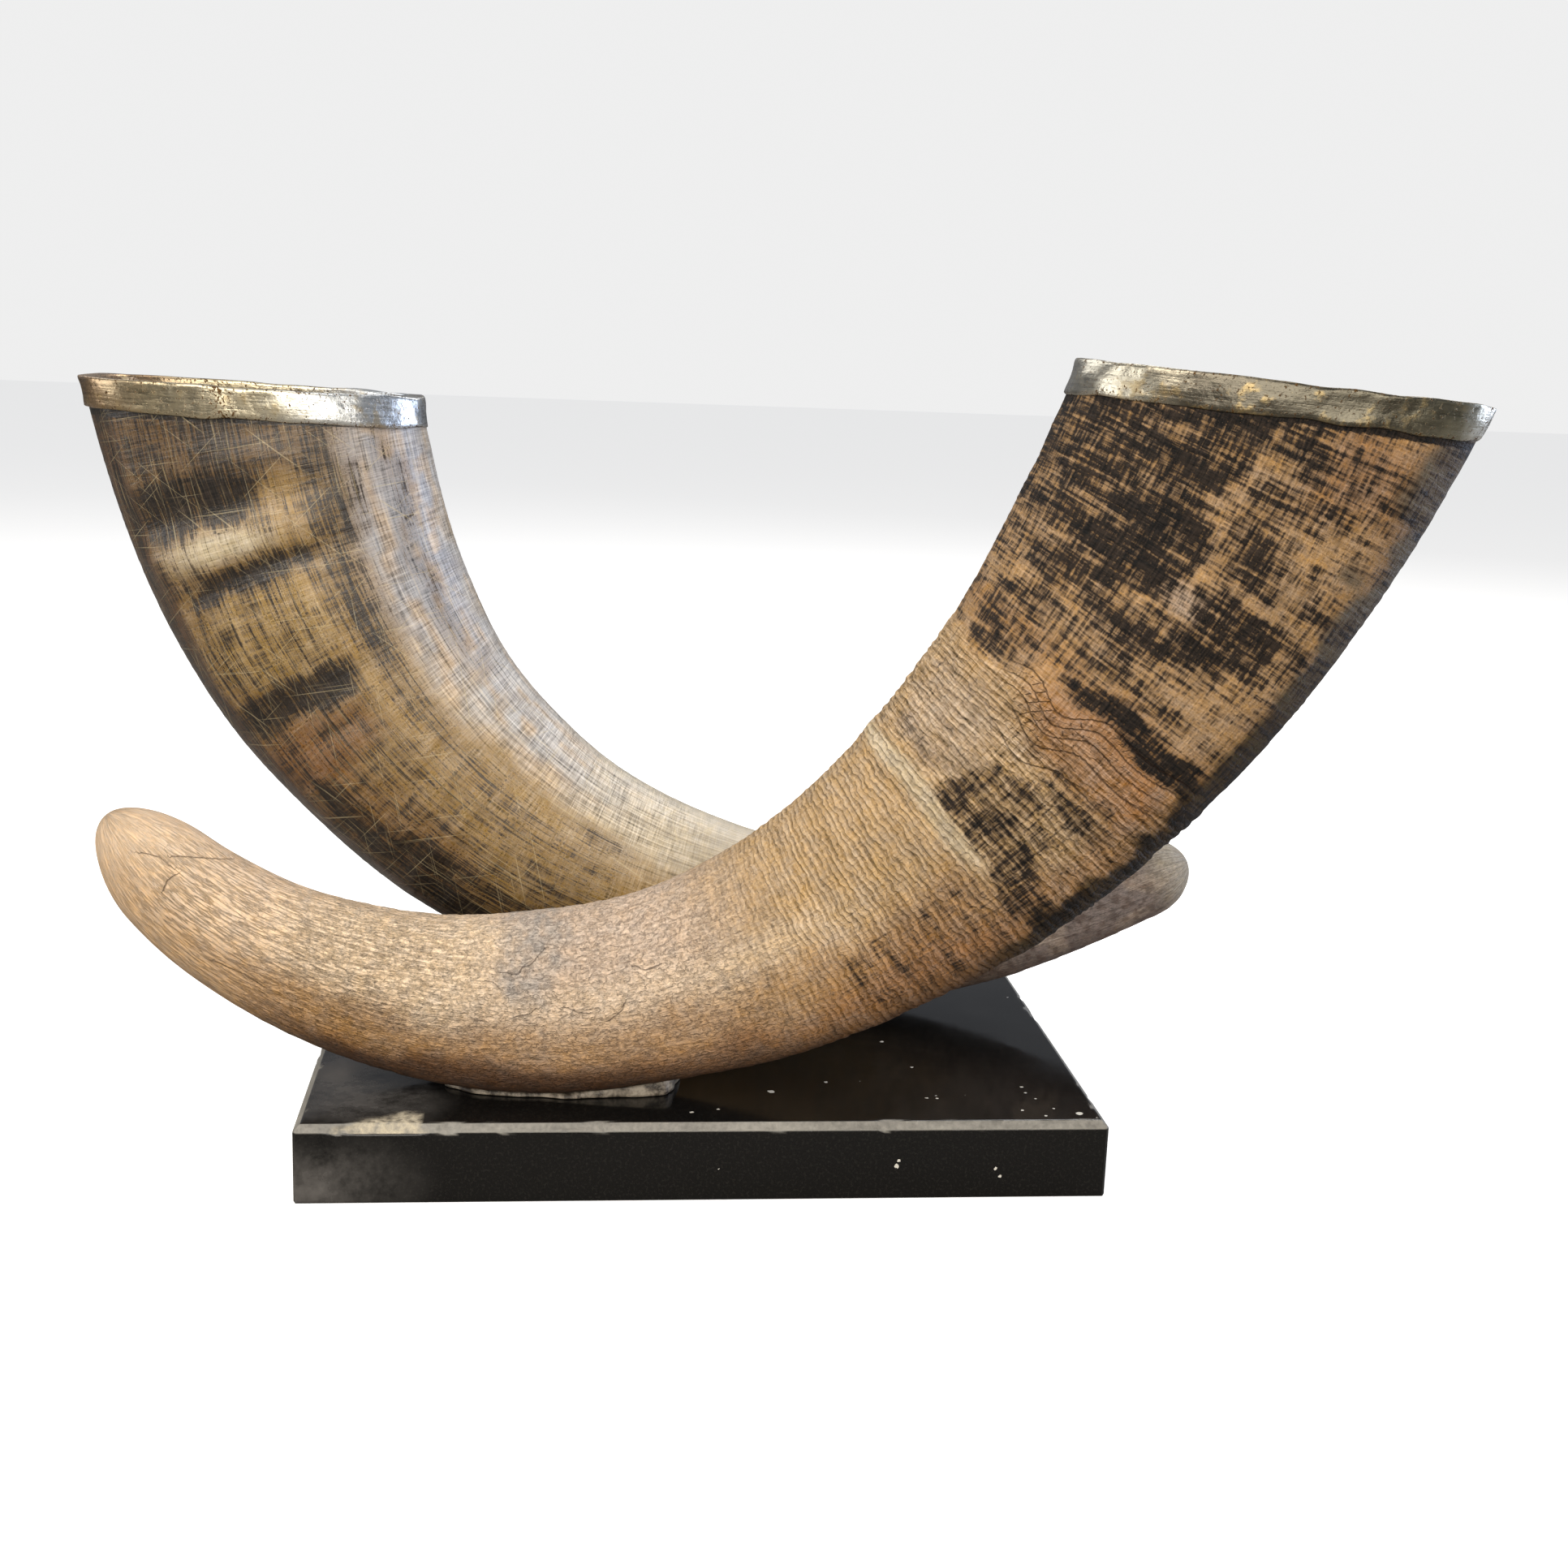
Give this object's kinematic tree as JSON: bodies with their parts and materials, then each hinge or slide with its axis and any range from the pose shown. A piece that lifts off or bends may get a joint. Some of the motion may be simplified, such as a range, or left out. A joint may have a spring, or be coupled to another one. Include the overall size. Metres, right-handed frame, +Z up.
{
  "type": "mounted pair of buffalo horns",
  "caption": "Crossed, upward-curving hollow buffalo horns with thin metal rims round the mouths, bedded on a flat polished stone slab as an ornament.",
  "frame": {"origin": "middle of the slab's flat underside, on the surface the ornament stands on", "axes": "+X along the slab to the side the front horn's mouth leans to, +Y from the front horn to the rear horn, +Z up"},
  "size_m": [0.5182, 0.2273, 0.3084],
  "materials": {
    "black_stone": "polished black stone with worn pale edges",
    "tan_horn": "dry, fibrous tan and brown horn, low sheen",
    "dark_horn": "polished brown and grey horn, scratched",
    "front_rim_metal": "worn silver plate over brass",
    "rear_rim_metal": "worn silver plate over brass",
    "adhesive": "dull, dusty set adhesive"
  },
  "bodies": {
    "root": {"stone_slab": "black_stone", "front_horn": "tan_horn", "rear_horn": "dark_horn", "front_rim": "front_rim_metal", "rear_rim": "rear_rim_metal", "front_adhesive": "adhesive", "rear_adhesive": "adhesive"}
  },
  "joints": []
}
